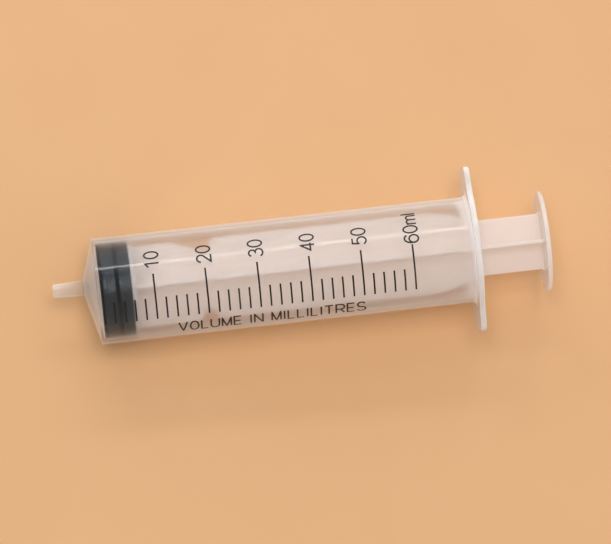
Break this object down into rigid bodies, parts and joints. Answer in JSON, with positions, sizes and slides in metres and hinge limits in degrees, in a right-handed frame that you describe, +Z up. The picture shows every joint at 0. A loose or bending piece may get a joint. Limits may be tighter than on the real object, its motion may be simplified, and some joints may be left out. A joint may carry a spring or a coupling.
{
  "type": "oral syringe",
  "caption": "Disposable slip-nozzle oral syringe: clear moulded barrel with finger wings, ribbed rubber stopper and cross-section plunger rod with a thumb disc.",
  "frame": {"origin": "on the barrel's axis, at the front shoulder where the round wall meets the cone of the nose", "axes": "+X along the barrel from the nozzle to the thumb disc, finger wings along Y, +Z up as the syringe lies on a table with its scale uppermost"},
  "size_m": [0.1462, 0.0488, 0.038],
  "materials": {
    "barrel_plastic": "injection-moulded natural polypropylene, polished",
    "rod_plastic": "injection-moulded natural polypropylene, satin",
    "stopper_rubber": "moulded blue-black rubber, siliconed"
  },
  "bodies": {
    "barrel": {"barrel": "barrel_plastic"},
    "stopper": {"rubber_stopper": "stopper_rubber"},
    "rod": {"plunger_rod": "rod_plastic"}
  },
  "joints": [
    {"name": "plunger_slide", "type": "slide", "parent": "barrel", "child": "stopper", "axis": [1, 0, 0], "range_m": [0, 0.0954]},
    {"name": "rod_spin", "type": "hinge", "parent": "stopper", "child": "rod", "pos_m": [0, 0, 0], "axis": [1, 0, 0], "continuous": true}
  ]
}
